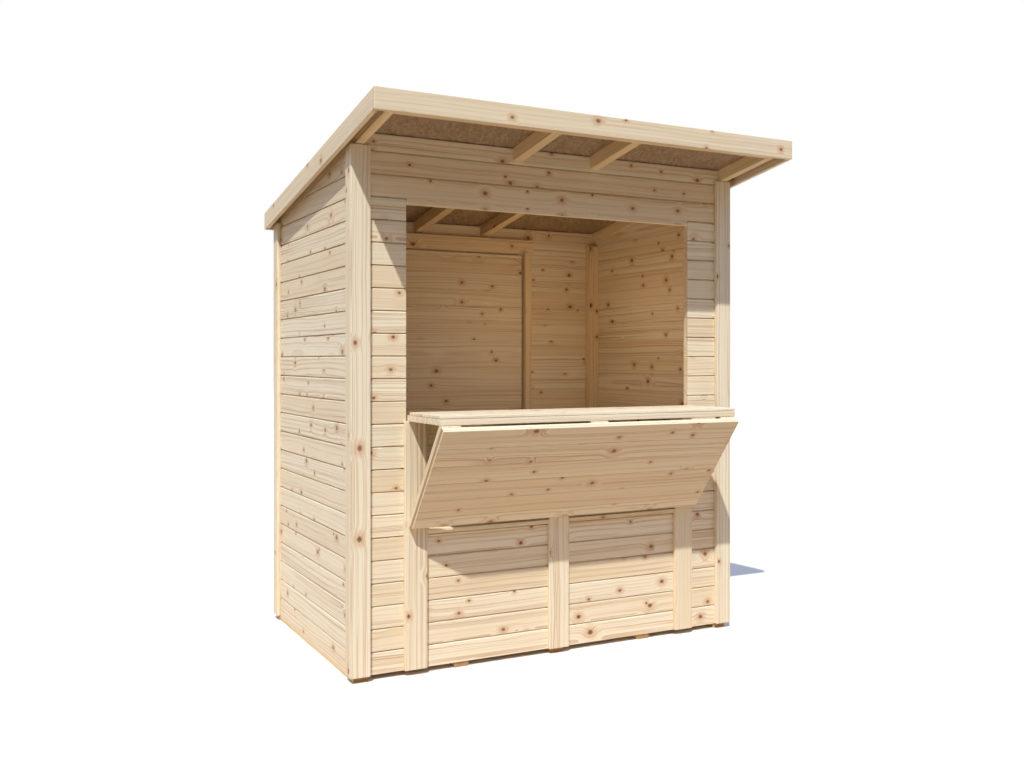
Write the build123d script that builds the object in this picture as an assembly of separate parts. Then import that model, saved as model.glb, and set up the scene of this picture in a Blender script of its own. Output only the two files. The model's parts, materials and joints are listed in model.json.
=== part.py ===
from build123d import *
import math
import os

# Wooden market stall: a small boarded hut with a mono-pitch roof, a wide serving
# opening at the front, a two-leaf folding hatch that opens into a counter, and a
# boarded door at the back. Millimetres, +X right along the front, +Y to the back,
# +Z up. The origin is on the ground at the middle of the footprint.

# Stock sizes of the timber
wall_board = 28
trim_board = 19
fascia_board = 19
floor_board = 19
batten_board = 22
leaf_board = 24
deck_sheet = 12
felt_sheet = 2

# Gap left between two pieces cut to meet, and how far a cut runs past what it cuts
saw_gap = 1
cut_past = 1

# Footprint over the corner trims, and the levels of the base
stall_width = 1832
stall_depth = 1150
bearer_height = 22
bearer_width = 62
bearer_outer_x = 867
bearer_inner_x = 442
bearer_set_back = 24

# Roof: outer size over the fascias, its height at the front and its fall
roof_width = 1915
roof_middle_x = 5.5
roof_front_y = -930
roof_length = 1536
roof_front_top = 2188
roof_fall = 245
fascia_height = 81
deck_below_fascia = 14
rafter_depth = 55
inner_rafter_width = 45
outer_rafter_width = 36
trimmer_width = 36
rafter_outer_x = 879
rafter_inner_x = 187

# Serving opening in the front wall
opening_width = 1368
opening_bottom = 996
opening_top = 1847

# Trims on the outside
corner_trim_width = 80
corner_strip_width = 48
front_batten_width = 95
front_batten_outer_x = 648
front_ledge_height = 17
front_ledge_top = 568

# Folding hatch, standing open as a counter
counter_board_top = 1020
counter_lining = 12
counter_lining_set_back = 25
counter_reach = 328
counter_gap = 4
front_leaf_slope = 53.05
front_leaf_top_y = -914
front_leaf_top_z = 976
front_leaf_foot = 583
front_leaf_stock = 600
hatch_side_gap = 3
hatch_batten_width = 80
counter_batten_width = 60
counter_batten_outer_x = 441
counter_batten_front = 90
counter_batten_rear = 20
sill_depth = 60
sill_height = 20
sill_side_gap = 24

# Door and doorway in the rear wall
door_width = 824
door_bottom = 70
door_top = 1797
door_gap = 6
door_stile_width = 90
door_head_lap = 14
door_lap_clearance = 6
door_post_width = 37
casing_width = 70
lintel_board_half = 467
lintel_board_height = 70
frame_overlap = 3

# Inner framing
corner_post_x = 58
corner_post_y = 45
rear_post_top = 1864
frame_board = 28

# Ironwork
hinge_plate = 3
hinge_pin_radius = 3
hinge_barrel_radius = 6
pin_play = 0.1
knuckle_gap = 0.5
knuckle_height = 12
strap_length = 84
strap_width = 34
plate_length = 50
door_hinge_levels = (330, 933, 1540)
hinge_length = 60
butt_leaf = 42
butt_radius = 5
counter_hinge_x = 330
fold_hinge_x = 633
handle_level = 960
pull_length = 150
pull_reach = 30
pull_bar = 5
pull_width = 18
pull_foot = 24

# Derived planes
side_x = stall_width / 2
wall_out_x = side_x - trim_board
wall_in_x = wall_out_x - wall_board
end_y = stall_depth / 2
wall_out_y = end_y - trim_board
wall_in_y = wall_out_y - wall_board
floor_top = bearer_height + floor_board
fall_per_mm = roof_fall / roof_length
roof_rear_y = roof_front_y + roof_length
roof_inner_front_y = roof_front_y + fascia_board
roof_inner_rear_y = roof_rear_y - fascia_board
opening_half = opening_width / 2
door_half = door_width / 2
doorway_half = door_half + door_gap
doorway_top = door_top + door_gap
rafter_places = (
    (-rafter_outer_x, outer_rafter_width, 0),
    (-rafter_inner_x, inner_rafter_width, trimmer_width),
    (rafter_inner_x, inner_rafter_width, trimmer_width),
    (rafter_outer_x, outer_rafter_width, 0),
)


def roof_top(y):
    """Level of the fascia's top edge at a depth y."""
    return roof_front_top - (y - roof_front_y) * fall_per_mm


def deck_underside(y):
    """Level where the roof sheet rests on the rafters."""
    return roof_top(y) - deck_below_fascia


def rafter_underside(y):
    """Level of the rafters' lower face."""
    return deck_underside(y) - rafter_depth


def block(x0, x1, y0, y1, z0, z1):
    """A squared piece of timber between two corners."""
    size = (x1 - x0, y1 - y0, z1 - z0)
    middle = ((x0 + x1) / 2, (y0 + y1) / 2, (z0 + z1) / 2)
    return Pos(*middle) * Box(*size)


def side_profile(points, x0, x1):
    """A piece with a given outline in the Y-Z plane, running from x0 to x1."""
    outline = Plane.YZ.offset(x0) * make_face(Polyline(*points, close=True))
    return extrude(outline, x1 - x0, dir=(1, 0, 0))


def sloped(x0, x1, y0, y1, low, high):
    """A piece whose lower and upper faces follow two level functions of y."""
    return side_profile([(y0, low(y0)), (y1, low(y1)), (y1, high(y1)), (y0, high(y0))], x0, x1)


def level(z):
    """A flat level, for sloped()."""
    return lambda y: z


def solid_list(shape):
    """The separate solids of a shape."""
    return list(shape.solids())


def rafter(x, width, set_back, top=deck_underside):
    """One rafter centred on x, whose front end stands back from the fascia."""
    return sloped(x - width / 2, x + width / 2, roof_inner_front_y + set_back, roof_inner_rear_y,
                  rafter_underside, top)


def without(shape, cutters):
    """A shape less a list of cutters."""
    for cutter in cutters:
        shape = shape - cutter
    return shape


os.makedirs("parts", exist_ok=True)


def write(name, *pieces):
    """Write one sub-part, made of one or more separate solids."""
    solids = [solid for piece in pieces for solid in solid_list(piece)]
    shape = solids[0] if len(solids) == 1 else Compound(children=solids)
    export_step(shape, "parts/" + name + ".step")


def mirrored(piece):
    """The same piece on the other side of the stall."""
    return mirror(piece, Plane.YZ)


# Base: five bearers on the ground and the floor that they carry

bearer_half = bearer_width / 2
bearer_end_y = end_y - bearer_set_back
bearer_places = (-bearer_outer_x, -bearer_inner_x, 0, bearer_inner_x, bearer_outer_x)
write("bearers", *[
    block(x - bearer_half, x + bearer_half, -bearer_end_y, bearer_end_y, 0, bearer_height)
    for x in bearer_places
])
write("floor", block(-wall_in_x, wall_in_x, -wall_in_y, wall_in_y, bearer_height, floor_top))

# Front wall, split round the serving opening

rafter_spaces = [rafter(x, width, set_back, roof_top) for x, width, set_back in rafter_places]
front = (-wall_out_y, -wall_in_y)
rear = (wall_in_y, wall_out_y)
left_jamb = block(-wall_out_x, -opening_half, *front, bearer_height, opening_top)
write("front_wall_left", left_jamb)
write("front_wall_right", mirrored(left_jamb))
write("front_wall_below", block(-opening_half, opening_half, *front, bearer_height, opening_bottom))
header = sloped(-wall_out_x, wall_out_x, *front, level(opening_top), deck_underside)
write("front_header", without(header, rafter_spaces))

# Side walls

right_wall = sloped(wall_in_x, wall_out_x, -wall_in_y, wall_in_y, level(bearer_height), rafter_underside)
write("right_wall", right_wall)
write("left_wall", mirrored(right_wall))

# Rear wall, split beside, over and under the doorway

rear_right = sloped(doorway_half, wall_out_x, *rear, level(bearer_height), deck_underside)
rear_right = without(rear_right, rafter_spaces)
write("rear_wall_right", rear_right)
write("rear_wall_left", mirrored(rear_right))
lintel = sloped(-doorway_half, doorway_half, *rear, level(doorway_top), deck_underside)
write("rear_wall_over_door", without(lintel, rafter_spaces))
write("door_threshold", block(-doorway_half, doorway_half, *rear, bearer_height, door_bottom - door_gap))

# Corner trims: a wide board on the front or rear, and a narrow strip on the side

front_trim_top = rafter_underside(-wall_out_y)
rear_trim_top = rafter_underside(end_y)
trim_inner_x = side_x - corner_trim_width
front_trim = block(trim_inner_x, side_x, -end_y, -wall_out_y, bearer_height, front_trim_top)
write("front_corner_trims", front_trim, mirrored(front_trim))
rear_trim = block(trim_inner_x, side_x, wall_out_y, end_y, bearer_height, rear_trim_top)
write("rear_corner_trims", rear_trim, mirrored(rear_trim))


def corner_strips():
    """The two upright strips on the right side wall, under the roof's slope."""
    front_end = -wall_out_y + corner_strip_width
    rear_end = wall_out_y - corner_strip_width
    return [
        sloped(wall_out_x, side_x, -wall_out_y, front_end, level(bearer_height), rafter_underside),
        sloped(wall_out_x, side_x, rear_end, wall_out_y, level(bearer_height), rafter_underside),
    ]


right_strips = corner_strips()
write("right_corner_strips", *right_strips)
write("left_corner_strips", *[mirrored(strip) for strip in right_strips])

# Upright battens and the ledge on the front, under the hatch

batten_half = front_batten_width / 2
counter_underside = counter_board_top - leaf_board
batten_places = (-front_batten_outer_x, 0, front_batten_outer_x)
write("front_battens", *[
    block(x - batten_half, x + batten_half, -end_y, -wall_out_y, bearer_height, counter_underside)
    for x in batten_places
])
ledge = block(batten_half, front_batten_outer_x - batten_half, -end_y, -wall_out_y,
              front_ledge_top - front_ledge_height, front_ledge_top)
write("front_ledge", ledge, mirrored(ledge))

# Sill inside the opening

sill_half = opening_half - sill_side_gap
write("sill", block(-sill_half, sill_half, -wall_out_y, -wall_out_y + sill_depth, opening_bottom,
                    opening_bottom + sill_height))

# Roof: rafters, the trimmer behind the front fascia, sheet, felt and fascias

for number, place in enumerate(rafter_places, start=1):
    write("rafter_" + str(number), rafter(*place))
trimmer_half = rafter_outer_x - outer_rafter_width / 2
write("front_trimmer", sloped(-trimmer_half, trimmer_half, roof_inner_front_y, roof_inner_front_y + trimmer_width,
                              rafter_underside, deck_underside))
fascia_x = (roof_middle_x - roof_width / 2, roof_middle_x + roof_width / 2)
deck_x = (fascia_x[0] + fascia_board, fascia_x[1] - fascia_board)


def deck_top(y):
    """Level of the roof sheet's upper face."""
    return deck_underside(y) + deck_sheet


def felt_top(y):
    """Level of the roofing felt."""
    return deck_top(y) + felt_sheet


def fascia_bottom(y):
    """Level of the side fascias' lower edge."""
    return roof_top(y) - fascia_height


write("roof_sheet", sloped(*deck_x, roof_inner_front_y, roof_inner_rear_y, deck_underside, deck_top))
write("roof_felt", sloped(*deck_x, roof_inner_front_y, roof_inner_rear_y, deck_top, felt_top))
write("fascia_front", sloped(*fascia_x, roof_front_y, roof_inner_front_y,
                             level(roof_front_top - fascia_height), roof_top))
write("fascia_rear", sloped(*fascia_x, roof_inner_rear_y, roof_rear_y,
                            level(fascia_bottom(roof_rear_y)), roof_top))
write("side_fascias", *[
    sloped(x, x + fascia_board, roof_inner_front_y, roof_inner_rear_y, fascia_bottom, roof_top)
    for x in (fascia_x[0], deck_x[1])
])

# Inner framing: corner posts and the frame of the doorway

post_in_x = wall_in_x - corner_post_x
front_post_top = rafter_underside(-wall_in_y + corner_post_y)
posts = []
for y0, y1, top in ((-wall_in_y, -wall_in_y + corner_post_y, front_post_top),
                    (wall_in_y - corner_post_y, wall_in_y, rear_post_top)):
    post = block(post_in_x, wall_in_x, y0, y1, floor_top, top)
    posts += [post, mirrored(post)]
write("corner_posts", *posts)

frame_y = wall_in_y - frame_board
frame_top = doorway_top + frame_overlap
write("lintel_board", block(-lintel_board_half, lintel_board_half, frame_y, wall_in_y,
                            frame_top, frame_top + lintel_board_height))
door_post = block(doorway_half, doorway_half + door_post_width, frame_y, wall_in_y, floor_top, frame_top)
write("door_posts", door_post, mirrored(door_post))

# Casing round the doorway, on the outside

casing_outer = doorway_half + casing_width
door_head = door_top + door_head_lap
casing_joint = door_head + door_gap
casing_side = block(doorway_half, casing_outer, wall_out_y, end_y, bearer_height, casing_joint - saw_gap)
casing_top = rafter_underside(end_y) - saw_gap
casing_head = block(-casing_outer, casing_outer, wall_out_y, end_y, casing_joint, casing_top)
write("door_casing", casing_side, mirrored(casing_side), casing_head)

# Folding hatch. The counter leaf has a thin lining on its boards, which stops short of the wall. The front
# leaf's foot is cut level, and the backs of its battens lean on the front battens.

hatch_half = opening_half - hatch_side_gap
counter_back_y = -wall_out_y - counter_gap
counter_front_y = counter_back_y - counter_reach
counter_top_level = counter_board_top + counter_lining
lining_back_y = counter_back_y - counter_lining_set_back
counter_outline = [(counter_front_y, counter_underside), (counter_back_y, counter_underside),
                   (counter_back_y, counter_board_top), (lining_back_y, counter_board_top),
                   (lining_back_y, counter_top_level), (counter_front_y, counter_top_level)]
write("counter_leaf", side_profile(counter_outline, -hatch_half, hatch_half))
slope = math.radians(front_leaf_slope)
along = Vector(0, math.cos(slope), -math.sin(slope))
inward = Vector(0, math.sin(slope), math.cos(slope))


def leaf_point(distance, depth):
    """A point of the front leaf's outline: down from its top edge, and in from its face."""
    point = along * distance + inward * depth
    return (front_leaf_top_y + point.Y, front_leaf_top_z + point.Z)


def leaf_piece(x0, x1, start, end, outer, inner):
    """A piece of the front leaf between two distances and two depths."""
    corners = [leaf_point(start, outer), leaf_point(end, outer), leaf_point(end, inner), leaf_point(start, inner)]
    return side_profile(corners, x0, x1)


above_foot = block(-side_x, side_x, roof_front_y, 0, front_leaf_foot, counter_top_level)
front_leaf = leaf_piece(-hatch_half, hatch_half, 0, front_leaf_stock, 0, leaf_board)
write("front_leaf", front_leaf & above_foot)
leaf_depth = leaf_board + batten_board
batten_room = block(-side_x, side_x, roof_front_y, -end_y - saw_gap, front_leaf_foot,
                    counter_underside - saw_gap)
leaf_battens = []
for x0 in (-hatch_half, -hatch_batten_width / 2, hatch_half - hatch_batten_width):
    batten = leaf_piece(x0, x0 + hatch_batten_width, 0, front_leaf_stock, leaf_board, leaf_depth)
    leaf_battens.append(batten & batten_room)
write("front_leaf_battens", *leaf_battens)
write("counter_battens", *[
    block(x - counter_batten_width / 2, x + counter_batten_width / 2, counter_front_y + counter_batten_front,
          counter_back_y - counter_batten_rear, counter_underside - batten_board, counter_underside)
    for x in (-counter_batten_outer_x, 0, counter_batten_outer_x)
])

# Door leaf, its stiles and ironwork

door_leaf = block(-door_half, door_half, *rear, door_bottom, door_top)
write("door_leaf", door_leaf)


def door_rail(x0, x1, bottom):
    """A piece of the door's outer frame, rebated at its head to lap over the gap above the leaf."""
    lap_y = wall_out_y + door_lap_clearance
    outline = [(wall_out_y, bottom), (end_y, bottom), (end_y, door_head), (lap_y, door_head), (lap_y, door_top),
               (wall_out_y, door_top)]
    return side_profile(outline, x0, x1)


stile_inner_x = door_half - door_stile_width
stile = door_rail(stile_inner_x, door_half, door_bottom)
head_rail = door_rail(saw_gap - stile_inner_x, stile_inner_x - saw_gap, door_top - door_stile_width)
write("door_stiles", stile, mirrored(stile), head_rail)

# Door hinges: a strap on the door that turns on a pin held by a plate on the casing

pin_x = -(doorway_half + door_half) / 2
pin_y = end_y + hinge_barrel_radius
strap_half = strap_width / 2
plate_half = strap_half + knuckle_gap + knuckle_height


def upright_rod(radius, z0, z1):
    """A round upright on the door's hinge line."""
    return Pos(pin_x, pin_y, (z0 + z1) / 2) * Cylinder(radius, z1 - z0)


def hinge_strap(z):
    """The moving half: a strap on the stile with its knuckle, bored for the pin."""
    strap = block(pin_x, pin_x + strap_length, end_y, end_y + hinge_plate, z - strap_half, z + strap_half)
    knuckle = upright_rod(hinge_barrel_radius, z - strap_half, z + strap_half)
    bore = upright_rod(hinge_pin_radius + pin_play, z - strap_half - cut_past, z + strap_half + cut_past)
    return strap + knuckle - bore


def hinge_bracket(z):
    """The fixed half: a plate on the casing, two knuckles and the pin."""
    plate = block(pin_x - plate_length, pin_x, end_y, end_y + hinge_plate, z - plate_half, z + plate_half)
    room = upright_rod(hinge_barrel_radius + knuckle_gap, z - strap_half - knuckle_gap, z + strap_half + knuckle_gap)
    upper = upright_rod(hinge_barrel_radius, z + strap_half + knuckle_gap, z + plate_half)
    lower = upright_rod(hinge_barrel_radius, z - plate_half, z - strap_half - knuckle_gap)
    pin = upright_rod(hinge_pin_radius, z - plate_half, z + plate_half)
    return plate - room + upper + lower + pin


write("door_hinge_straps", *[hinge_strap(z) for z in door_hinge_levels])
write("door_hinge_brackets", *[hinge_bracket(z) for z in door_hinge_levels])

# Door pull: a bow of flat bar with a foot at each end

pull_x = door_half - door_stile_width / 2


def pull_outline():
    """The upper half of the bow, from its middle to the tip of its foot, as (depth, level)."""
    outer = pull_reach
    inner = pull_reach - pull_bar
    grip = pull_length / 2
    foot = grip + pull_foot
    return [(inner, 0), (outer, 0), (outer, grip - pull_bar), (pull_bar, grip + pull_bar), (pull_bar, foot),
            (0, foot), (0, grip), (inner, grip - 2 * pull_bar)]


upper_outline = [(end_y + y, handle_level + z) for y, z in pull_outline()]
lower_outline = [(end_y + y, handle_level - z) for y, z in pull_outline()]
half_width = pull_width / 2
upper_bow = side_profile(upper_outline, pull_x - half_width, pull_x + half_width)
lower_bow = side_profile(lower_outline, pull_x - half_width, pull_x + half_width)
write("door_handle", upper_bow + lower_bow)

# Hatch hinges: two where the counter meets the wall, three at the fold


def cross_rod(x0, x1, y, z, radius):
    """A round bar along X."""
    return Pos((x0 + x1) / 2, y, z) * Rot(0, 90, 0) * Cylinder(radius, x1 - x0)


def counter_hinge(x):
    """A butt hinge between the front wall and the counter's underside."""
    x0 = x - hinge_length / 2
    x1 = x + hinge_length / 2
    face = -wall_out_y
    upright = block(x0, x1, face - hinge_plate, face, counter_underside - butt_leaf, counter_underside)
    flat = block(x0, x1, face - butt_leaf, face, counter_underside - hinge_plate, counter_underside)
    knuckle = cross_rod(x0, x1, face - butt_radius, counter_underside - butt_radius, butt_radius)
    return upright + flat + knuckle


def fold_hinge(x):
    """A butt hinge in the corner between the counter's underside and the back of a leaf batten."""
    x0 = x - hinge_length / 2
    x1 = x + hinge_length / 2
    inner_y, inner_z = leaf_point(0, leaf_depth)
    centre_z = counter_underside - butt_radius
    centre_y = inner_y + (butt_radius - (centre_z - inner_z) * inward.Z) / inward.Y
    start = (centre_y - inner_y) * along.Y + (centre_z - inner_z) * along.Z
    flat = block(x0, x1, centre_y, centre_y + butt_leaf, counter_underside - hinge_plate, counter_underside)
    sloping = leaf_piece(x0, x1, start, start + butt_leaf, leaf_depth, leaf_depth + hinge_plate)
    return flat + sloping + cross_rod(x0, x1, centre_y, centre_z, butt_radius)


write("counter_hinges", *[counter_hinge(x) for x in (-counter_hinge_x, counter_hinge_x)])
write("fold_hinges", *[fold_hinge(x) for x in (-fold_hinge_x, 0, fold_hinge_x)])
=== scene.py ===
import json
import math
import random

import bmesh
import bpy
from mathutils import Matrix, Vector


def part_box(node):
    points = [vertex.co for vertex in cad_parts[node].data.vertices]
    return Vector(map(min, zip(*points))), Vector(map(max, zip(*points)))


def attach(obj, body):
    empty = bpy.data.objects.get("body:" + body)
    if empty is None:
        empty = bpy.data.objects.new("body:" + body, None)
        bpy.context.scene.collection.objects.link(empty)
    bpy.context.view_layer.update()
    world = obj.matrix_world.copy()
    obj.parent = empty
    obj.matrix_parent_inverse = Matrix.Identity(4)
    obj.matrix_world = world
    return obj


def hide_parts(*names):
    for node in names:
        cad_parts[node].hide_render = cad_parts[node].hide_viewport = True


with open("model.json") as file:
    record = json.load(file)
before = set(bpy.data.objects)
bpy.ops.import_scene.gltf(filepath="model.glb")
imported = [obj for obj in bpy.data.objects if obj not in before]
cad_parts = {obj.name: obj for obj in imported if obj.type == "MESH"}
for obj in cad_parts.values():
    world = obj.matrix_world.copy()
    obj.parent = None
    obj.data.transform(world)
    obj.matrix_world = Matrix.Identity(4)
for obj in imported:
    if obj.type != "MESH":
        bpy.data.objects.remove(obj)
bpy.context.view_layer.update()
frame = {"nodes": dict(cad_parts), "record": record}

# The wooden market stall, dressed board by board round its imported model. Metres, +X right along
# the front, +Y to the back, +Z up.

RIGHT = Vector((1, 0, 0))
BACK = Vector((0, 1, 0))
UP = Vector((0, 0, 1))

# Wall boards: how much of each board's face shows, the level of one joint, and the thickness. The
# joints of all the walls stand at the same levels.
COVER = 0.088
JOINT_LEVEL = 1.2531
WALL = 0.028

# The joint outside: a sloping edge that catches the light, under an open slot
SLOPE_HEIGHT = 0.003
SLOPE_DEPTH = 0.003
SLOT_HEIGHT = 0.0044
SLOT_DEPTH = 0.009

# How far edges are eased: wall boards outside and inside, the hatch's two leaves, floor boards, planed
# and sawn timber, roof sheets and felt
ARRIS = 0.001
INNER_ARRIS = 0.0018
LEAF_ARRIS = 0.0012
COUNTER_ARRIS = 0.0016
FLOOR_ARRIS = 0.0012
PLANED_ARRIS = 0.0028
SAWN_ARRIS = 0.0015
SHEET_ARRIS = 0.0006
FELT_ARRIS = 0.0004

# Gaps: between pieces that meet, at the ends of the walls, beside the header's foot, under the roof
# sheet, between the two roof sheets, and round the door's boards
FIT = 0.0002
WALL_END_GAP = 0.0005
HEADER_FOOT_GAP = 0.0015
HEAD_GAP = 0.005
SEAM_GAP = 0.001
DOOR_EASE = 0.002

# The narrowest strip that is worth a board of its own, and how far a joint may stand above a wall's foot
# before a further board goes in below it
LEAST_STRIP = 0.004
LEVEL_PLAY = 0.002

# Roof: thickness of sheet and felt, and how far the felt laps
SHEET_THICKNESS = 0.012
FELT_THICKNESS = 0.002
FELT_LENGTHS = 3
FELT_LAP = 0.08

# The nails along each lap: how far from its edge they stand, and how far their heads sink in
NAIL_COUNT = 24
NAIL_LINE = 0.02
NAIL_RADIUS = 0.0045
NAIL_HEIGHT = 0.0012
NAIL_SEAT = 0.0003

# Hatch: the counter's lining, which stops short of the wall, and the front leaf's slope, its layers and
# the length of its boards' stack down the slope before the foot is cut
COUNTER_LINING = 0.012
LINING_SET_BACK = 0.025
COUNTER_GROOVE = 0.0006
LEAF_SLOPE = math.radians(53.05)
LEAF_BOARD = 0.024
LEAF_LINING = 0.008
LEAF_BATTEN = 0.022
LEAF_STOCK = 0.56

# Door: depth of the rebate in the back of its stiles' heads, where they lap over the gap above the leaf
STILE_REBATE = 0.006

# Ironwork: the hinges' plates and the radius of their barrels, the handle's feet, and how far the screws
# sink in
HINGE_PLATE = 0.003
HINGE_BARREL = 0.006
HANDLE_FOOT = 0.005
SCREW_SEAT = 0.0002


# Shaders


class Value:
    """A number or colour inside a finish; plain arithmetic on it adds the nodes that work it out."""

    def __init__(self, finish, socket):
        self.finish = finish
        self.socket = socket

    def math(self, operation, *others):
        return self.finish.math(operation, self, *others)

    def __add__(self, other):
        return self.math("ADD", other)

    def __radd__(self, other):
        return self.finish.math("ADD", other, self)

    def __sub__(self, other):
        return self.math("SUBTRACT", other)

    def __rsub__(self, other):
        return self.finish.math("SUBTRACT", other, self)

    def __mul__(self, other):
        return self.math("MULTIPLY", other)

    def __rmul__(self, other):
        return self.finish.math("MULTIPLY", other, self)

    def __truediv__(self, other):
        return self.math("DIVIDE", other)

    def __pow__(self, other):
        return self.math("POWER", other)


class Finish:
    """A material with a principled shader, and the few ways in which its nodes are added."""

    def __init__(self, name, tree=None):
        if tree is None:
            self.material = bpy.data.materials.new(name)
            self.material.use_nodes = True
            tree = self.material.node_tree
            self.shader = tree.nodes["Principled BSDF"]
        self.tree = tree

    def feed(self, socket, value):
        """Gives a socket a link or a fixed value."""
        if isinstance(value, Value):
            self.tree.links.new(value.socket, socket)
        elif isinstance(value, tuple) and len(socket.default_value) > len(value):
            socket.default_value = (*value, 1)
        else:
            socket.default_value = value

    def node(self, kind, settings, sockets):
        """Adds a node of a type, sets it up, and then feeds its sockets."""
        made = self.tree.nodes.new("ShaderNode" + kind)
        for key, value in settings.items():
            setattr(made, key, value)
        for key, value in sockets.items():
            self.feed(made.inputs[key], value)
        return made

    def math(self, operation, *values):
        made = self.node("Math", {"operation": operation}, dict(enumerate(values)))
        return Value(self, made.outputs[0])

    def vector(self, x, y, z):
        made = self.node("CombineXYZ", {}, {0: x, 1: y, 2: z})
        return Value(self, made.outputs[0])

    def parts(self, vector):
        made = self.node("SeparateXYZ", {}, {0: vector})
        return [Value(self, output) for output in made.outputs]

    def attribute(self, name, output):
        made = self.node("Attribute", {"attribute_name": name}, {})
        return Value(self, made.outputs[output])

    def mix(self, share, first, second):
        """A colour between two others."""
        made = self.node("Mix", {"data_type": "RGBA"}, {0: share, 6: first, 7: second})
        return Value(self, made.outputs[2])

    def smooth(self, value, low, high):
        """0 below low, 1 above high, and a soft step between."""
        settings = {"interpolation_type": "SMOOTHSTEP"}
        made = self.node("MapRange", settings, {"Value": value, "From Min": low, "From Max": high})
        return Value(self, made.outputs[0])

    def noise(self, vector, detail=2.0):
        made = self.node("TexNoise", {}, {"Vector": vector, "Scale": 1.0, "Detail": detail})
        return Value(self, made.outputs["Fac"])

    def cells(self, vector, scatter=1.0):
        """The nearest of many scattered points: its place and three random numbers of its own."""
        settings = {"voronoi_dimensions": "2D"}
        made = self.node("TexVoronoi", settings, {"Vector": vector, "Scale": 1.0, "Randomness": scatter})
        place = Value(self, made.outputs["Position"])
        return self.parts(place)[:2], self.parts(Value(self, made.outputs["Color"]))

    def surface(self, colour, roughness, height, depth, metallic=0.0):
        """Feeds the shader; height is a relief of the given depth in metres."""
        bump = self.node("Bump", {}, {"Height": height, "Distance": depth, "Strength": 1.0})
        self.feed(self.shader.inputs["Base Color"], colour)
        self.feed(self.shader.inputs["Roughness"], roughness)
        self.shader.inputs["Metallic"].default_value = metallic
        self.feed(self.shader.inputs["Normal"], Value(self, bump.outputs[0]))
        return self.material


def spruce(name, early, late, roughness, knot_share, relief):
    """Spruce in each board's own directions: rings round a heart, streaks, knots with their halo.

    Early and late are the colours of the pale and the dark growth, and relief is its depth in metres.
    """
    wood = Finish(name)
    # Place along the grain, across the face and through the thickness
    u, v, w = wood.parts(wood.attribute("grain", "Vector"))
    heart_v, heart_w, seed = wood.parts(wood.attribute("heart", "Vector"))
    tone = wood.attribute("tone", "Fac")
    end = wood.attribute("end", "Fac")
    edge = wood.attribute("edge", "Fac")

    # Knots: scattered along each board, oval, each with its own size and darkness
    knot_spacing = 0.19
    knot_rows = 0.085
    knot_place = wood.vector(u / knot_spacing, v / knot_rows, 0.0)
    (near_u, near_v), (luck, girth, depth) = wood.cells(knot_place, 0.95)
    off_u = (u / knot_spacing - near_u) * (knot_spacing / 1.25)
    off_v = (v / knot_rows - near_v) * knot_rows
    reach = (off_u * off_u + off_v * off_v) ** 0.5
    present = wood.math("GREATER_THAN", luck, 1 - knot_share) * (1 - edge)
    radius = girth * girth * 0.006 + 0.0052
    ragged = wood.noise(wood.vector(u * 150, v * 150, seed * 9)) * 0.6 + 0.7
    ratio = reach / radius * ragged
    core = present * (1 - wood.smooth(ratio, 0.65, 1.15))
    heartwood = present * (1 - wood.smooth(ratio, 0.1, 0.75))
    halo = present * (1 - wood.smooth(ratio, 0.9, 3.6))
    swell = present * wood.math("EXPONENT", reach * reach / (radius * radius) * -0.13)

    # Rings: distance from a wandering heart, pushed aside by the knots, with broader lines now and then
    ring_width = 0.0038
    line_spacing = 0.0145
    wander = wood.noise(wood.vector(u * 1.1, v * 5 + seed * 7, w * 5)) * 0.040 - 0.020
    from_v = v - heart_v + wander
    from_w = w - heart_w
    ring_place = (from_v * from_v + from_w * from_w) ** 0.5 + swell * radius * 1.3
    ring = wood.math("FRACT", ring_place / ring_width)
    latewood = wood.smooth(ring, 0.25, 0.86) * (1 - wood.smooth(ring, 0.9, 1.0))
    band = wood.smooth(wood.noise(wood.vector(ring_place * 85, seed * 13, u * 0.4), 3.0), 0.42, 0.72)
    drift = wood.noise(wood.vector(ring_place * 60, seed * 5, u * 2.2))
    pulse = wood.math("FRACT", ring_place / line_spacing + drift * 1.3)
    lines = wood.smooth(pulse, 0.5, 0.85) * (1 - wood.smooth(pulse, 0.9, 1.0))
    fibre = wood.noise(wood.vector(u * 7, v * 330, w * 330 + seed), 2.0)
    cloud = wood.noise(wood.vector(u * 1.7 + seed * 3, v * 9, w * 9))

    # Colour: pale and dark growth, warmer clouds, each board's own tone, then the knots, and darker ends:
    # sawn end grain, with painted shade on the ends that are set darker still
    streak = latewood * (band * 0.85 + 0.14) + band * 0.17 + lines * 0.33 + (fibre - 0.5) * 0.26
    colour = wood.mix(wood.smooth(streak, 0.0, 1.0), early, late)
    warm = (early[0] * 0.96, early[1] * 0.87, early[2] * 0.74)
    colour = wood.mix(wood.smooth(cloud + tone * 0.5 - 0.25, 0.35, 0.85) * 0.5, colour, warm)
    colour = wood.mix(tone * tone * 0.22, colour, late)
    colour = wood.mix(halo * 0.55, colour, (0.62, 0.34, 0.16))
    colour = wood.mix(core * (depth * 0.3 + 0.7), colour, (0.24, 0.10, 0.042))
    colour = wood.mix(heartwood * 0.6, colour, (0.06, 0.024, 0.011))
    colour = wood.mix(end, colour, (late[0] * 0.70, late[1] * 0.62, late[2] * 0.53))
    height = latewood * 0.35 + fibre * 0.45 - core * 0.4
    shine = wood.math("MINIMUM", latewood * -0.05 + fibre * 0.1 + roughness - core * 0.12, 1.0)
    return wood.surface(colour, shine, height, relief)


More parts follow.
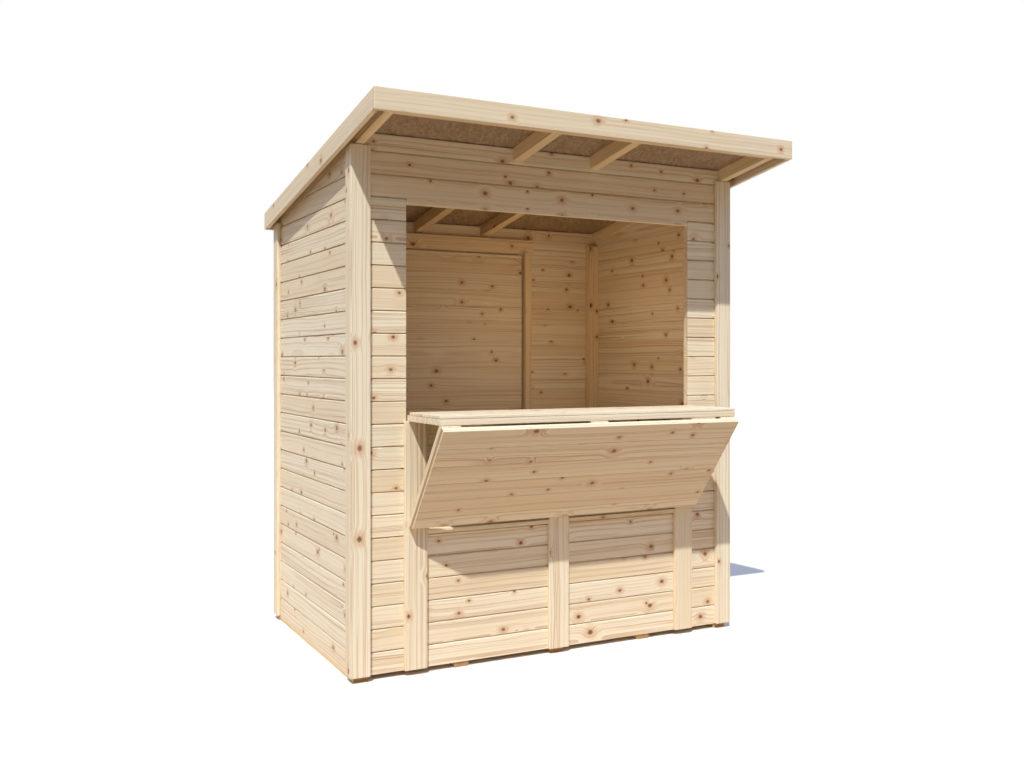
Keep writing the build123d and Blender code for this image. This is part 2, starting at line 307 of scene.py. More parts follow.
def strand_board(name):
    """Pressed flakes of wood: three layers of long flakes, turned different ways."""
    board = Finish(name)
    u, v = board.parts(board.attribute("grain", "Vector"))[:2]
    colour = (0.30, 0.205, 0.12)
    height = 0.0
    # Each layer: the way its flakes lie, their length and width, and where its pattern starts
    layers = ((0.35, 0.045, 0.011, 3.1), (-0.6, 0.038, 0.012, 7.7), (1.15, 0.03, 0.009, 12.3))
    for turn, length, width, shift in layers:
        bend = board.noise(board.vector(u * 25 + shift, v * 25, 0.0)) * 0.008
        along = u * math.cos(turn) + v * math.sin(turn) + bend
        across = v * math.cos(turn) - u * math.sin(turn) + bend
        luck, shade, lift = board.cells(board.vector(along / length, across / width, shift))[1]
        top = board.math("GREATER_THAN", luck, 0.42)
        flake = board.mix(shade, (0.25, 0.165, 0.09), (0.40, 0.285, 0.175))
        lines = board.noise(board.vector(along * 15, across * 500, shift))
        flake = board.mix(board.smooth(lines, 0.45, 0.9) * 0.35, flake, (0.20, 0.12, 0.06))
        colour = board.mix(top, colour, flake)
        height = top * lift + height * 0.5
    return board.surface(colour, lift * 0.15 + 0.58, height, 0.0004)


def mineral_felt(name):
    """Roofing felt: dark sheet under fine mineral grit."""
    felt = Finish(name)
    u, v, w = felt.parts(felt.attribute("grain", "Vector"))
    grains_per_metre = 420
    grit_place = felt.vector(u * grains_per_metre, v * grains_per_metre, 0.0)
    grit, shade, lift = felt.cells(grit_place)[1]
    cloud = felt.noise(felt.vector(u * 3, v * 3, w), 4.0)
    colour = felt.mix(grit, (0.035, 0.037, 0.04), (0.15, 0.155, 0.165))
    colour = felt.mix(felt.smooth(cloud, 0.4, 0.8) * 0.4, colour, (0.13, 0.13, 0.135))
    return felt.surface(colour, shade * 0.12 + 0.82, lift + cloud, 0.0008)


def zinc(name, pale, rough):
    """Zinc-plated steel with the faint cloudiness of plating."""
    metal = Finish(name)
    place = metal.node("TexCoord", {}, {}).outputs["Object"]
    x, y, z = metal.parts(Value(metal, place))
    cloud = metal.noise(metal.vector(x * 90, y * 90, z * 90), 3.0)
    spot = metal.noise(metal.vector(x * 900, y * 900, z * 900), 1.0)
    colour = metal.mix(cloud, tuple(part * 0.72 for part in pale), pale)
    return metal.surface(colour, cloud * 0.25 + rough, spot, 0.0001, metallic=1.0)


BOARDS = spruce("spruce boards", (0.90, 0.82, 0.625), (0.60, 0.42, 0.245), 0.56, 0.5, 0.0003)
TRIM = spruce("planed spruce trim", (0.89, 0.82, 0.63), (0.63, 0.455, 0.275), 0.5, 0.45, 0.0002)
SAWN = spruce("sawn spruce", (0.86, 0.71, 0.455), (0.58, 0.38, 0.19), 0.68, 0.5, 0.0006)
STRANDS = strand_board("strand board")
FELT = mineral_felt("roofing felt")
ZINC = zinc("zinc plate", (0.66, 0.67, 0.68), 0.28)

FINISH_OF_SLOT = {
    "spruce_boards": BOARDS,
    "planed_trim": TRIM,
    "sawn_spruce": SAWN,
    "osb_sheet": STRANDS,
    "roof_felt": FELT,
    "steel": ZINC,
}
SLOT_OF_NODE = {part["node"]: part["material_slot"] for part in frame["record"]["subparts"]}
BODIES = frame["record"]["behaviour"]["bodies"]
BODY_OF_NODE = {node: body for body, nodes in BODIES.items() for node in nodes}


# Pieces


class Batch:
    """One mesh of like pieces, such as boards or screws; each point knows its place in its own grain."""

    def __init__(self, name):
        self.name = name
        self.luck = random.Random(name)
        self.points = []
        self.faces = []
        self.grain = []
        self.heart = []
        self.tone = []
        self.end = []
        self.edge = []

    def take(self, shape, along, across, seed=None, end_grain_and_shade=0.2):
        """Adds a solid whose grain runs along the first direction; pieces with one seed look alike.

        Each piece starts at its own place in the grain, and has its own heart, seed and tone. Its end
        faces are darkened by the given share: sawn end grain, and where the share is high, painted shade.
        """
        luck = random.Random(seed) if seed else self.luck
        out = along.cross(across)
        shift = Vector((luck.uniform(0, 90), luck.uniform(-0.03, 0.03), luck.uniform(-0.01, 0.01)))
        heart_across = luck.uniform(-0.07, 0.07)
        heart_out = luck.choice((-1, 1)) * luck.uniform(0.015, 0.07)
        heart = Vector((heart_across, heart_out, luck.random()))
        tone = luck.random()
        shape.verts.ensure_lookup_table()
        middle = sum((vertex.co for vertex in shape.verts), Vector()) / len(shape.verts)
        first = len(self.points)
        for vertex in shape.verts:
            place = vertex.co - middle
            own = Vector((vertex.co.dot(along), place.dot(across), place.dot(out)))
            self.points.append(vertex.co.copy())
            self.grain.append(own + shift)
            self.heart.append(heart)
            self.tone.append(tone)
        shape.normal_update()
        shape.verts.index_update()
        for face in shape.faces:
            self.faces.append([first + vertex.index for vertex in face.verts])
            self.end.append(end_grain_and_shade if abs(face.normal.dot(along)) > 0.7 else 0.0)
            self.edge.append(1.0 if abs(face.normal.dot(across)) > 0.8 else 0.0)
        shape.free()

    def finish(self, node, slot=None, keeps=False):
        """Turns the pieces into one object on a node's body, in place of the node unless it keeps it."""
        mesh = bpy.data.meshes.new(self.name)
        mesh.from_pydata(self.points, [], self.faces)
        for name, values in (("grain", self.grain), ("heart", self.heart)):
            layer = mesh.attributes.new(name, "FLOAT_VECTOR", "POINT")
            layer.data.foreach_set("vector", [part for value in values for part in value])
        for name, values, domain in (("tone", self.tone, "POINT"), ("end", self.end, "FACE"),
                                     ("edge", self.edge, "FACE")):
            layer = mesh.attributes.new(name, "FLOAT", domain)
            layer.data.foreach_set("value", values)
        slot = slot or SLOT_OF_NODE[node]
        mesh.materials.append(FINISH_OF_SLOT[slot])
        piece = bpy.data.objects.new(self.name, mesh)
        bpy.context.scene.collection.objects.link(piece)
        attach(piece, BODY_OF_NODE[node])
        if not keeps:
            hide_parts(node)


def solid(outline, sweep):
    """A closed solid: a flat outline of points carried along a vector."""
    shape = bmesh.new()
    near = [shape.verts.new(point) for point in outline]
    far = [shape.verts.new(point + sweep) for point in outline]
    shape.faces.new(near)
    shape.faces.new(reversed(far))
    count = len(outline)
    for place in range(count):
        after = (place + 1) % count
        shape.faces.new((near[after], near[place], far[place], far[after]))
    bmesh.ops.recalc_face_normals(shape, faces=shape.faces[:])
    return shape


def trim_off(shape, point, outward):
    """Cuts a solid with a plane, drops what lies outward of it and closes the cut."""
    geometry = shape.verts[:] + shape.edges[:] + shape.faces[:]
    cut = bmesh.ops.bisect_plane(shape, geom=geometry, plane_co=point, plane_no=outward, clear_outer=True,
                                 dist=0.00001)
    edges = [item for item in cut["geom_cut"] if isinstance(item, bmesh.types.BMEdge)]
    if edges:
        bmesh.ops.edgeloop_fill(shape, edges=edges)
        bmesh.ops.recalc_face_normals(shape, faces=shape.faces[:])
    return shape


def soften(shape, amount, steps=2):
    """Rounds every edge of a solid."""
    bmesh.ops.bevel(shape, geom=shape.edges[:], offset=amount, segments=steps, profile=0.5, affect="EDGES",
                    clamp_overlap=True)
    return shape


def block(low, high, arris):
    """A squared timber between two corners, with its edges eased."""
    outline = [Vector((x, y, low[2])) for x, y in
               ((low[0], low[1]), (high[0], low[1]), (high[0], high[1]), (low[0], high[1]))]
    return soften(solid(outline, UP * (high[2] - low[2])), arris)


def side_outline(points, start, end, arris):
    """A timber with an outline in the depth-height plane, running from start to end along X."""
    outline = [Vector((start, y, z)) for y, z in points]
    return soften(solid(outline, RIGHT * (end - start)), arris)


# Driving planes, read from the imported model

front_low, front_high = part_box("front_wall_below")
wall_front_y = front_low.y
wall_left_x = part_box("left_wall")[0].x
wall_side_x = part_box("right_wall")[1].x
base_z = front_low.z
opening_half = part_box("front_wall_right")[0].x
opening_bottom = front_high.z
header_low, header_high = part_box("front_header")
opening_top = header_low.z
rear_low, rear_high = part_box("rear_wall_right")
wall_rear_y = rear_high.y
doorway_half = rear_low.x
sheet_low, sheet_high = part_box("roof_sheet")
rafter_low, rafter_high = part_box("rafter_4")
fall = (sheet_high.z - sheet_low.z - SHEET_THICKNESS) / (sheet_high.y - sheet_low.y)
slope_out = Vector((0, fall, 1)).normalized()
slope_along = Vector((0, 1, -fall)).normalized()


def sheet_underside(y):
    """Level of the roof sheet's lower face."""
    return sheet_high.z - SHEET_THICKNESS - (y - sheet_low.y) * fall


rafter_depth = sheet_underside(rafter_high.y) - rafter_low.z


def rafter_underside(y):
    """Level of the rafters' lower face."""
    return sheet_underside(y) - rafter_depth


# Levels, at y = 0, where the walls' heads are cut to the roof's slope
under_sheet = sheet_underside(0.0) - HEAD_GAP
under_rafters = rafter_underside(0.0) - FIT


# Walls


class Wall:
    """A wall's own directions, and where its outer face stands."""

    def __init__(self, along, out, face):
        self.along = along
        self.out = out
        self.face = face

    def at(self, run, height, depth):
        """The point at a place along the wall, a height and a depth behind its face."""
        return self.along * run + UP * height + self.out * (self.face - depth)


FRONT = Wall(RIGHT, -BACK, -wall_front_y)
REAR = Wall(RIGHT, BACK, wall_rear_y)
LEFT = Wall(BACK, -RIGHT, -wall_left_x)
RIGHT_SIDE = Wall(BACK, RIGHT, wall_side_x)


def wall_board_outline(bottom, plain_foot=False):
    """A wall board's end, as (height, depth): square foot, sloped and slotted head, tight inner joint."""
    top = bottom + COVER
    foot = 0.0 if plain_foot else ARRIS
    outline = [(bottom + foot, 0.0)] if not plain_foot else []
    outline += [(bottom + FIT, foot), (bottom + FIT, WALL - INNER_ARRIS), (bottom + INNER_ARRIS, WALL),
                (top - INNER_ARRIS, WALL), (top - FIT, WALL - INNER_ARRIS), (top - FIT, SLOT_DEPTH),
                (top - SLOT_HEIGHT, SLOT_DEPTH), (top - SLOT_HEIGHT, SLOPE_DEPTH),
                (top - SLOT_HEIGHT - SLOPE_HEIGHT, 0.0)]
    return outline


def lay_boards(timber, wall, start, end, low, high, head=None):
    """Boards one above another between two levels; head is the level of a cut to the roof's slope."""
    course = math.floor((low + LEVEL_PLAY - JOINT_LEVEL) / COVER)
    bottom = JOINT_LEVEL + COVER * course
    while bottom < high - LEAST_STRIP:
        outline = [wall.at(start, height, depth) for height, depth in wall_board_outline(bottom)]
        shape = solid(outline, wall.along * (end - start))
        if bottom < low - ARRIS:
            trim_off(shape, UP * low, -UP)
        if bottom + COVER > high + ARRIS:
            trim_off(shape, UP * high, UP)
        if head:
            trim_off(shape, UP * head, slope_out)
        if len(shape.faces) > 4:
            timber.take(shape, wall.along, UP)
        bottom += COVER


def boarded_wall(node, wall, start, end, low, high, head=None):
    """One wall node as boards."""
    timber = Batch(node + "_boards")
    lay_boards(timber, wall, start, end, low, high, head)
    timber.finish(node)


roof_reach = header_high.z + 0.1
wall_end = wall_side_x - WALL_END_GAP
jamb_joint = JOINT_LEVEL + COVER * round((opening_top - JOINT_LEVEL) / COVER)
boarded_wall("front_wall_left", FRONT, -wall_end, -opening_half, base_z, jamb_joint)
boarded_wall("front_wall_right", FRONT, opening_half, wall_end, base_z, jamb_joint)
boarded_wall("front_wall_below", FRONT, -opening_half + FIT, opening_half - FIT, base_z, opening_bottom)


def front_header():
    """The boards over the opening; the lowest reaches down between the jambs."""
    timber = Batch("front_header_boards")
    seed = "header foot"
    section = wall_board_outline(jamb_joint, True)
    outline = [FRONT.at(-wall_end, height, depth) for height, depth in section]
    timber.take(solid(outline, RIGHT * 2 * wall_end), RIGHT, UP, seed)
    half = opening_half - HEADER_FOOT_GAP
    front_y = wall_front_y
    back_y = wall_front_y + WALL
    foot_z = opening_top
    section = [(front_y, foot_z + ARRIS), (front_y + ARRIS, foot_z), (back_y - ARRIS, foot_z),
               (back_y, foot_z + ARRIS), (back_y, jamb_joint + FIT), (front_y, jamb_joint + FIT)]
    lip = solid([Vector((-half, y, z)) for y, z in section], RIGHT * 2 * half)
    timber.take(lip, RIGHT, UP, seed)
    lay_boards(timber, FRONT, -wall_end, wall_end, jamb_joint + COVER, roof_reach, under_sheet)
    timber.finish("front_header")


front_header()

inner_front_y = wall_front_y + WALL + FIT
inner_rear_y = wall_rear_y - WALL - FIT
for side_node, side_wall in (("left_wall", LEFT), ("right_wall", RIGHT_SIDE)):
    boarded_wall(side_node, side_wall, inner_front_y, inner_rear_y, base_z, roof_reach, under_rafters)

boarded_wall("rear_wall_left", REAR, -wall_end, -doorway_half, base_z, roof_reach, under_sheet)
boarded_wall("rear_wall_right", REAR, doorway_half, wall_end, base_z, roof_reach, under_sheet)
over_door_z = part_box("rear_wall_over_door")[0].z
boarded_wall("rear_wall_over_door", REAR, -doorway_half + FIT, doorway_half - FIT, over_door_z, roof_reach,
             under_sheet)
threshold_low, threshold_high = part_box("door_threshold")
boarded_wall("door_threshold", REAR, threshold_low.x + FIT, threshold_high.x - FIT, threshold_low.z,
             threshold_high.z)

# Door leaf, in line with the wall's boards

door_low, door_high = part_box("door_leaf")
boarded_wall("door_leaf", REAR, door_low.x + DOOR_EASE, door_high.x - DOOR_EASE, door_low.z,
             door_high.z - DOOR_EASE)


# Squared pieces: each solid of a plain node gets the same corners, with its edges eased


def solids_of(node):
    """The corners (low, high) of each separate solid of a node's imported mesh."""
    shape = bmesh.new()
    shape.from_mesh(frame["nodes"][node].data)
    bmesh.ops.remove_doubles(shape, verts=shape.verts[:], dist=0.00001)
    left = set(shape.verts)
    boxes = []
    while left:
        waiting = [left.pop()]
        found = list(waiting)
        while waiting:
            vertex = waiting.pop()
            for edge in vertex.link_edges:
                other = edge.other_vert(vertex)
                if other in left:
                    left.remove(other)
                    waiting.append(other)
                    found.append(other)
        low = Vector([min(vertex.co[axis] for vertex in found) for axis in range(3)])
        high = Vector([max(vertex.co[axis] for vertex in found) for axis in range(3)])
        boxes.append((low, high))
    shape.free()
    return sorted(boxes, key=lambda pair: tuple(round(part, 4) for part in pair[0]))


def squared(node, along, across, arris, end_grain_and_shade=0.2):
    """Squared timbers in the places of a node's solids."""
    timber = Batch(node + "_timber")
    for low, high in solids_of(node):
        timber.take(block(low, high, arris), along, across, end_grain_and_shade=end_grain_and_shade)
    timber.finish(node)


for upright_node in ("front_corner_trims", "rear_corner_trims", "front_battens"):
    squared(upright_node, UP, RIGHT, PLANED_ARRIS)
squared("front_ledge", RIGHT, UP, PLANED_ARRIS)
squared("sill", RIGHT, BACK, PLANED_ARRIS)
for post_node in ("corner_posts", "door_posts"):
    squared(post_node, UP, RIGHT, SAWN_ARRIS)
squared("lintel_board", RIGHT, UP, SAWN_ARRIS)
# The bearers' ends are painted dark: end grain, and painted shade, since they stand in shade under the
# walls' foot
squared("bearers", BACK, RIGHT, SAWN_ARRIS, end_grain_and_shade=0.9)


def corner_strips(node):
    """Upright strips on a side wall, cut to the roof's slope."""
    timber = Batch(node + "_timber")
    for low, high in solids_of(node):
        points = [(low.y, low.z), (high.y, low.z), (high.y, rafter_underside(high.y) - FIT),
                  (low.y, rafter_underside(low.y) - FIT)]
        timber.take(side_outline(points, low.x, high.x, PLANED_ARRIS), UP, BACK)
    timber.finish(node)


corner_strips("left_corner_strips")
corner_strips("right_corner_strips")


def lie_of(low, high):
    """A timber's grain and its width: lying where it is wider than tall, or else upright."""
    return (RIGHT, UP) if high.x - low.x > high.z - low.z else (UP, RIGHT)


def door_casing():
    """The boards round the doorway, outside."""
    timber = Batch("door_casing_timber")
    for low, high in solids_of("door_casing"):
        timber.take(block(low, high, PLANED_ARRIS), *lie_of(low, high))
    timber.finish("door_casing")


door_casing()


def door_stiles():
    """The door's outer frame: two stiles and a head rail, rebated to lap over the gap above the leaf."""
    timber = Batch("door_stiles_timber")
    for low, high in solids_of("door_stiles"):
        lap_y = low.y + STILE_REBATE
        points = [(low.y, low.z), (high.y, low.z), (high.y, high.z), (lap_y, high.z), (lap_y, door_high.z),
                  (low.y, door_high.z)]
        timber.take(side_outline(points, low.x, high.x, PLANED_ARRIS), *lie_of(low, high))
    timber.finish("door_stiles")


door_stiles()


# Roof


def sloped_timber(node, arris):
    """Rafters and side fascias: a slanting length of timber in the place of each solid."""
    timber = Batch(node + "_timber")
    for low, high in solids_of(node):
        tall = high.z - low.z - fall * (high.y - low.y)
        points = [(low.y, high.z - tall), (high.y, low.z), (high.y, low.z + tall), (low.y, high.z)]
        timber.take(side_outline(points, low.x, high.x, arris), slope_along, slope_out)
    timber.finish(node)


for rafter_number in range(1, 5):
    sloped_timber("rafter_" + str(rafter_number), SAWN_ARRIS)
sloped_timber("side_fascias", PLANED_ARRIS)


def cross_timber(node, arris, sloped_foot):
    """A board across the roof whose top, and foot where asked, follows the slope."""
    timber = Batch(node + "_timber")
    low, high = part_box(node)
    drop = fall * (high.y - low.y)
    rear_foot = low.z
    front_foot = low.z + (drop if sloped_foot else 0.0)
    points = [(low.y, front_foot), (high.y, rear_foot), (high.y, high.z - drop), (low.y, high.z)]
    timber.take(side_outline(points, low.x, high.x, arris), RIGHT, UP)
    timber.finish(node)


cross_timber("fascia_front", PLANED_ARRIS, False)
cross_timber("fascia_rear", PLANED_ARRIS, False)
cross_timber("front_trimmer", SAWN_ARRIS, True)


def roof_sheet():
    """Two sheets of strand board that meet behind the middle."""
    timber = Batch("roof_sheet_boards")
    seam_y = sheet_low.y + 0.62 * (sheet_high.y - sheet_low.y)
    for start, end in ((sheet_low.y, seam_y - SEAM_GAP), (seam_y + SEAM_GAP, sheet_high.y)):
        under_start = sheet_underside(start)
        under_end = sheet_underside(end)
        points = [(start, under_start), (end, under_end), (end, under_end + SHEET_THICKNESS),
                  (start, under_start + SHEET_THICKNESS)]
        timber.take(side_outline(points, sheet_low.x, sheet_high.x, SHEET_ARRIS), RIGHT, slope_along)
    timber.finish("roof_sheet")


roof_sheet()


def disc(centre, axis, radius, thickness, sides=10):
    """A low round head standing on a surface."""
    side = axis.orthogonal().normalized()
    other = axis.cross(side)
    outline = []
    for step in range(sides):
        angle = 2 * math.pi * step / sides
        outline.append(centre + side * (radius * math.cos(angle)) + other * (radius * math.sin(angle)))
    return solid(outline, axis * thickness)


def roof_felt():
    """Lengths of felt, each lapped over the one below it, with clout nails along the laps."""
    felt = Batch("roof_felt_lengths")
    nails = Batch("roof_felt_nails")
    depth = (sheet_high.y - sheet_low.y) / FELT_LENGTHS
    width = sheet_high.x - sheet_low.x
    for number in range(FELT_LENGTHS):
        lowest = number == FELT_LENGTHS - 1
        start = sheet_low.y + depth * number
        end = min(start + depth + FELT_LAP, sheet_high.y)
        lift = 0.0 if lowest else FELT_THICKNESS
        # Between these two lines the felt steps up on to the length behind it
        step_start = end - FELT_LAP - 0.012
        step_end = end - FELT_LAP + 0.002
        points = []
        for y, rise in ((start, 0.0), (step_start, 0.0), (step_end, lift), (end, lift)):
            points.append((y, sheet_underside(y) + SHEET_THICKNESS + rise))
        upper = [(y, z + FELT_THICKNESS) for y, z in reversed(points)]
        shape = side_outline(points + upper, sheet_low.x, sheet_high.x, FELT_ARRIS)
        felt.take(shape, RIGHT, slope_along)
        if not lowest:
            y = end - NAIL_LINE
            top = sheet_underside(y) + SHEET_THICKNESS + 2 * FELT_THICKNESS
            for place in range(NAIL_COUNT):
                x = sheet_low.x + (place + 0.5) * width / NAIL_COUNT
                seat = Vector((x, y, top - NAIL_SEAT))
                nails.take(disc(seat, slope_out, NAIL_RADIUS, NAIL_HEIGHT), RIGHT, slope_along)
    felt.finish("roof_felt")
    nails.finish("roof_felt", slot="steel", keeps=True)


roof_felt()


# Folding hatch


counter_low, counter_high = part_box("counter_leaf")


def counter_leaf():
    """The counter: a layer of boards, and a thin lining laid on them, which stops short of the wall."""
    timber = Batch("counter_leaf_boards")
    joint_z = counter_high.z - COUNTER_LINING
    layers = ((counter_low.z, joint_z - COUNTER_GROOVE, counter_high.y),
              (joint_z + COUNTER_GROOVE, counter_high.z, counter_high.y - LINING_SET_BACK))
    for bottom, top, end_y in layers:
        y = counter_low.y
        while y < end_y - LEAST_STRIP / 2:
            after = min(y + COVER, end_y)
            if end_y - after < COVER / 4:
                after = end_y
            low = Vector((counter_low.x, y + FIT, bottom))
            high = Vector((counter_high.x, after - FIT, top))
            timber.take(block(low, high, COUNTER_ARRIS), RIGHT, BACK, end_grain_and_shade=0.0)
            y = after
    timber.finish("counter_leaf")


counter_leaf()

leaf_low, leaf_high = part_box("front_leaf")
leaf_mesh = frame["nodes"]["front_leaf"].data
leaf_corner = min((vertex.co.copy() for vertex in leaf_mesh.vertices), key=lambda point: point.y)
leaf_corner.x = 0.0
leaf_down = Vector((0, math.cos(LEAF_SLOPE), -math.sin(LEAF_SLOPE)))
leaf_inward = Vector((0, math.sin(LEAF_SLOPE), math.cos(LEAF_SLOPE)))


def leaf_outline(x, start, end, outer, inner, arris):
    """A board's end on the front leaf: from start to end down the slope, from outer to inner depth."""
    points = [(start + arris, outer), (start, outer + arris),
              (start, inner - arris), (start + arris, inner),
              (end - arris, inner), (end, inner - arris),
              (end, outer + arris), (end - arris, outer)]
    return [leaf_corner + RIGHT * x + leaf_down * along + leaf_inward * depth for along, depth in points]


def front_leaf():
    """The sloping leaf: boards side by side, cut level at the foot, under a thin lining on its face."""
    timber = Batch("front_leaf_boards")
    # Each layer: its outer and inner depth, and how dark its ends are. The boards' ends, set between the
    # lining and the battens, are painted fully dark: painted shade on top of their end grain
    for outer, inner, end_grain_and_shade in ((0.0, LEAF_LINING, 0.0), (LEAF_LINING + FIT, LEAF_BOARD, 1.0)):
        start = 0.0
        while start < LEAF_STOCK:
            outline = leaf_outline(leaf_low.x, start + FIT, start + COVER - FIT, outer, inner, LEAF_ARRIS)
            shape = solid(outline, RIGHT * (leaf_high.x - leaf_low.x))
            trim_off(shape, UP * leaf_low.z, -UP)
            if len(shape.faces) > 4:
                timber.take(shape, RIGHT, leaf_down, end_grain_and_shade=end_grain_and_shade)
            start += COVER
    timber.finish("front_leaf")


front_leaf()


def front_leaf_battens():
    """The battens on the back of the front leaf, cut level at the foot and head and upright behind."""
    timber = Batch("front_leaf_battens_timber")
    batten_low, batten_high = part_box("front_leaf_battens")
    near = LEAF_BOARD + FIT
    far = LEAF_BOARD + LEAF_BATTEN
    section = ((0.0, near), (LEAF_STOCK, near), (LEAF_STOCK, far), (0.0, far))
    corners = [leaf_corner + leaf_down * along + leaf_inward * depth for along, depth in section]
    for low, high in solids_of("front_leaf_battens"):
        outline = [Vector((low.x, corner.y, corner.z)) for corner in corners]
        shape = solid(outline, RIGHT * (high.x - low.x))
        trim_off(shape, UP * batten_high.z, UP)
        trim_off(shape, UP * batten_low.z, -UP)
        trim_off(shape, BACK * batten_high.y, BACK)
        timber.take(soften(shape, COUNTER_ARRIS), leaf_down, RIGHT)
    timber.finish("front_leaf_battens")


front_leaf_battens()
squared("counter_battens", BACK, RIGHT, SAWN_ARRIS)


def floor_boards():
    """Floor boards that run from side to side."""
    timber = Batch("floor_boards")
    low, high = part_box("floor")
    y = low.y
    while y < high.y - LEAST_STRIP:
        end = min(y + COVER, high.y)
        board_low = Vector((low.x, y + FIT, low.z))
        board_high = Vector((high.x, end - FIT, high.z))
        timber.take(block(board_low, board_high, FLOOR_ARRIS), RIGHT, BACK)
        y = end
    timber.finish("floor")


floor_boards()

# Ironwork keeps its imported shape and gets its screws

iron_nodes = ("door_hinge_straps", "door_hinge_brackets", "counter_hinges", "fold_hinges", "door_handle")
for iron_node in iron_nodes:
    mesh = frame["nodes"][iron_node].data
    mesh.materials.clear()
    mesh.materials.append(ZINC)


def screw_head(centre, out, radius):
    """A low domed screw head with a cross recess, seated on a surface."""
    shape = bmesh.new()
    side = out.orthogonal().normalized()
    other = out.cross(side)
    # Each ring: its reach and height as shares of the radius, and how far its waist between the arms
    # draws in
    profile = ((1.0, 0.0, 1.0), (0.97, 0.22, 1.0), (0.74, 0.4, 1.0), (0.6, 0.45, 0.3), (0.5, 0.05, 0.3))
    rings = []
    for reach, height, waist in profile:
        ring = []
        for quarter in range(4):
            for lean, draw in ((-45, waist), (-15, 1.0), (15, 1.0)):
                angle = math.radians(90 * quarter + lean)
                flat = side * math.cos(angle) + other * math.sin(angle)
                corner = centre + (flat * (reach * draw) + out * height) * radius
                ring.append(shape.verts.new(corner))
        rings.append(ring)
    shape.faces.new(reversed(rings[0]))
    shape.faces.new(rings[-1])
    for lower, upper in zip(rings, rings[1:]):
        for number, corner in enumerate(lower):
            after = (number + 1) % len(lower)
            shape.faces.new((corner, lower[after], upper[after], upper[number]))
    bmesh.ops.recalc_face_normals(shape, faces=shape.faces[:])
    return shape


def screws(name, node, seats):
    """The screws of one node of ironwork: seats are (point, outward direction, radius)."""
    heads = Batch(name)
    for point, out, radius in seats:
        shape = screw_head(point - out * SCREW_SEAT, out, radius)
        heads.take(shape, out.orthogonal().normalized(), out)
    heads.finish(node, slot="steel", keeps=True)


def strap_screws():
    """Five screws through each strap, by their reach from the pin and their height over its middle."""
    places = ((0.022, 0.009), (0.022, -0.009), (0.048, 0.0), (0.072, 0.009), (0.072, -0.009))
    seats = []
    for low, high in solids_of("door_hinge_straps"):
        middle = (low.z + high.z) / 2
        face = BACK * (low.y + HINGE_PLATE)
        pin_x = low.x + HINGE_BARREL
        for reach, rise in places:
            seats.append((RIGHT * (pin_x + reach) + face + UP * (middle + rise), BACK, 0.0036))
    screws("door_strap_screws", "door_hinge_straps", seats)


def plate_screws():
    """Four screws through each plate that carries a strap."""
    seats = []
    for low, high in solids_of("door_hinge_brackets"):
        middle = (low.z + high.z) / 2
        face = BACK * (low.y + HINGE_PLATE)
        for rise in (-0.018, 0.018):
            for reach in (0.007, 0.021):
                seats.append((RIGHT * (low.x + reach) + face + UP * (middle + rise), BACK, 0.0033))
    screws("door_plate_screws", "door_hinge_brackets", seats)


def handle_screws():
    """Two screws through each foot of the handle."""
    low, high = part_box("door_handle")
    face = RIGHT * ((low.x + high.x) / 2) + BACK * (low.y + HANDLE_FOOT)
    levels = (low.z + 0.006, low.z + 0.016, high.z - 0.006, high.z - 0.016)
    screws("door_handle_screws", "door_handle", [(face + UP * level, BACK, 0.003) for level in levels])


strap_screws()
plate_screws()
handle_screws()


def butt_screws(node, seat_rows):
    """Three screws in each leaf of each butt hinge; a row is (point at x = 0, outward direction)."""
    seats = []
    for low, high in solids_of(node):
        middle = (low.x + high.x) / 2
        for point, out in seat_rows:
            for shift, lean in ((-0.02, -0.004), (0.0, 0.005), (0.02, -0.004)):
                seats.append((RIGHT * (middle + shift) + point + out.cross(RIGHT) * lean, out, 0.003))
    screws(node + "_screws", node, seats)


def hatch_screws():
    """The screws of the hinges under the counter: at the wall, and at the fold."""
    hinge_low, hinge_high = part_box("counter_hinges")
    butt_leaf = hinge_high.z - hinge_low.z
    # How far each leaf's row of screws stands from the hinge's corner
    row = butt_leaf * 0.62
    on_wall = BACK * (hinge_high.y - HINGE_PLATE) + UP * (hinge_high.z - row)
    on_counter = BACK * (hinge_high.y - row) + UP * (hinge_high.z - HINGE_PLATE)
    butt_screws("counter_hinges", ((on_wall, -BACK), (on_counter, -UP)))
    fold_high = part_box("fold_hinges")[1]
    flat = BACK * (fold_high.y - (butt_leaf - row)) + UP * (fold_high.z - HINGE_PLATE)
    depth = LEAF_BOARD + LEAF_BATTEN
    start = (fold_high.z - HINGE_BARREL - leaf_corner.z - leaf_inward.z * depth) / leaf_down.z
    sloping = leaf_corner + leaf_down * (start + row) + leaf_inward * (depth + HINGE_PLATE)
    butt_screws("fold_hinges", ((flat, -UP), (sloping, leaf_inward)))


hatch_screws()


# Floor, backdrop, light and camera


def seen_directly(finish):
    """1 where the camera looks, straight or by way of metal."""
    path = finish.node("LightPath", {}, {})
    rays = ("Is Camera Ray", "Is Glossy Ray", "Is Transmission Ray")
    straight, mirrored, through = [Value(finish, path.outputs[name]) for name in rays]
    return finish.math("MINIMUM", straight + mirrored + through, 1.0)


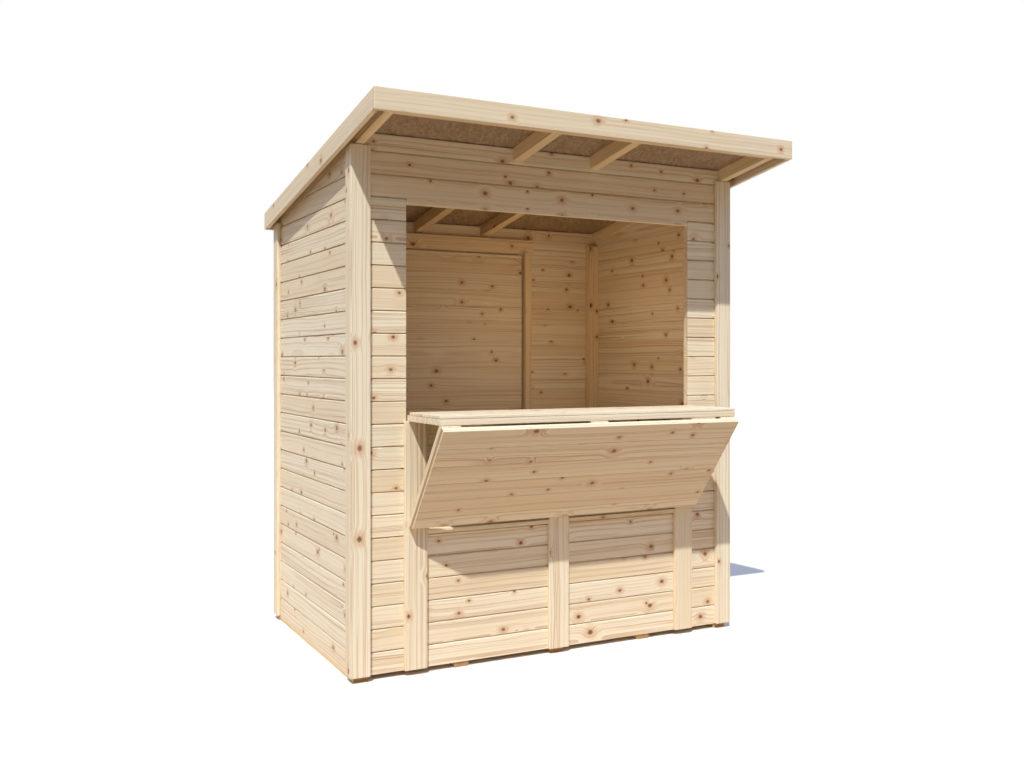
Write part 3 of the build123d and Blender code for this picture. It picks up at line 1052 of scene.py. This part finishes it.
def ground():
    """A wide floor that keeps the stall's shadow, shows white and hands on warm light near the stall."""
    half = 40.0
    corners = [(-half, -half, 0), (half, -half, 0), (half, half, 0), (-half, half, 0)]
    mesh = bpy.data.meshes.new("ground")
    mesh.from_pydata(corners, [], [(0, 1, 2, 3)])
    pale = Finish("pale floor")
    x, y = pale.parts(Value(pale, pale.node("TexCoord", {}, {}).outputs["Object"]))[:2]
    far = pale.smooth((x * x + y * y) ** 0.5, 1.4, 4.5)
    warm = pale.mix(far, (0.59, 0.43, 0.29), (0.24, 0.17, 0.11))
    colour = pale.mix(seen_directly(pale), warm, (0.96, 0.925, 0.865))
    pale.feed(pale.shader.inputs["Base Color"], colour)
    pale.shader.inputs["Roughness"].default_value = 0.9
    pale.shader.inputs["Specular IOR Level"].default_value = 0.0
    mesh.materials.append(pale.material)
    floor = bpy.data.objects.new("ground", mesh)
    bpy.context.scene.collection.objects.link(floor)


ground()


def sky():
    """Soft light, weak and warm low down, stronger and cool from above, and white behind the stall."""
    world = bpy.data.worlds.new("studio")
    bpy.context.scene.world = world
    world.use_nodes = True
    studio = Finish("studio", world.node_tree)
    world.node_tree.nodes.remove(world.node_tree.nodes["Background"])

    def glow(colour, strength):
        background = studio.node("Background", {}, {"Color": colour, "Strength": strength})
        return Value(studio, background.outputs[0])

    def blend(share, first, second):
        return Value(studio, studio.node("MixShader", {}, {0: share, 1: first, 2: second}).outputs[0])

    height = studio.parts(Value(studio, studio.node("TexCoord", {}, {}).outputs["Generated"]))[2]
    level = glow((0.95, 0.76, 0.58), 0.2)
    above = glow((0.58, 0.70, 1.0), 0.75)
    white = glow((1.0, 1.0, 1.0), 1.0)
    light = blend(studio.smooth(height, 0.1, 0.55), level, above)
    shown = blend(seen_directly(studio), light, white)
    studio.feed(world.node_tree.nodes["World Output"].inputs["Surface"], shown)


sky()


def key_light():
    """The sun, high on the left, in front."""
    lamp = bpy.data.lights.new("key", "SUN")
    lamp.energy = 3.45
    lamp.angle = math.radians(0.8)
    lamp.color = (1.0, 0.99, 0.97)
    falls = Vector((0.356, 0.465, -0.81))
    holder = bpy.data.objects.new("key", lamp)
    holder.rotation_euler = falls.to_track_quat("-Z", "Y").to_euler()
    bpy.context.scene.collection.objects.link(holder)


key_light()


def inner_light():
    """A weak warm glow in the middle of the inside, for the light that the boards hand on."""
    lamp = bpy.data.lights.new("inner", "POINT")
    lamp.shadow_soft_size = 0.25
    lamp.energy = 3.0
    lamp.color = (1.0, 0.68, 0.42)
    holder = bpy.data.objects.new("inner", lamp)
    holder.location = (0.33, -0.1, 1.42)
    holder.visible_camera = False
    holder.visible_glossy = False
    bpy.context.scene.collection.objects.link(holder)


inner_light()


def camera():
    """The camera at the photo's place, level, looking to the right."""
    lens = bpy.data.cameras.new("camera")
    lens.sensor_width = 36
    lens.lens = 35.65
    lens.shift_y = -0.023
    holder = bpy.data.objects.new("camera", lens)
    holder.location = (-2.1583, -4.267, 1.234)
    holder.rotation_euler = (math.radians(90), 0, math.radians(-27.63))
    bpy.context.scene.collection.objects.link(holder)
    bpy.context.scene.camera = holder


camera()
bpy.context.scene.view_settings.view_transform = "Standard"
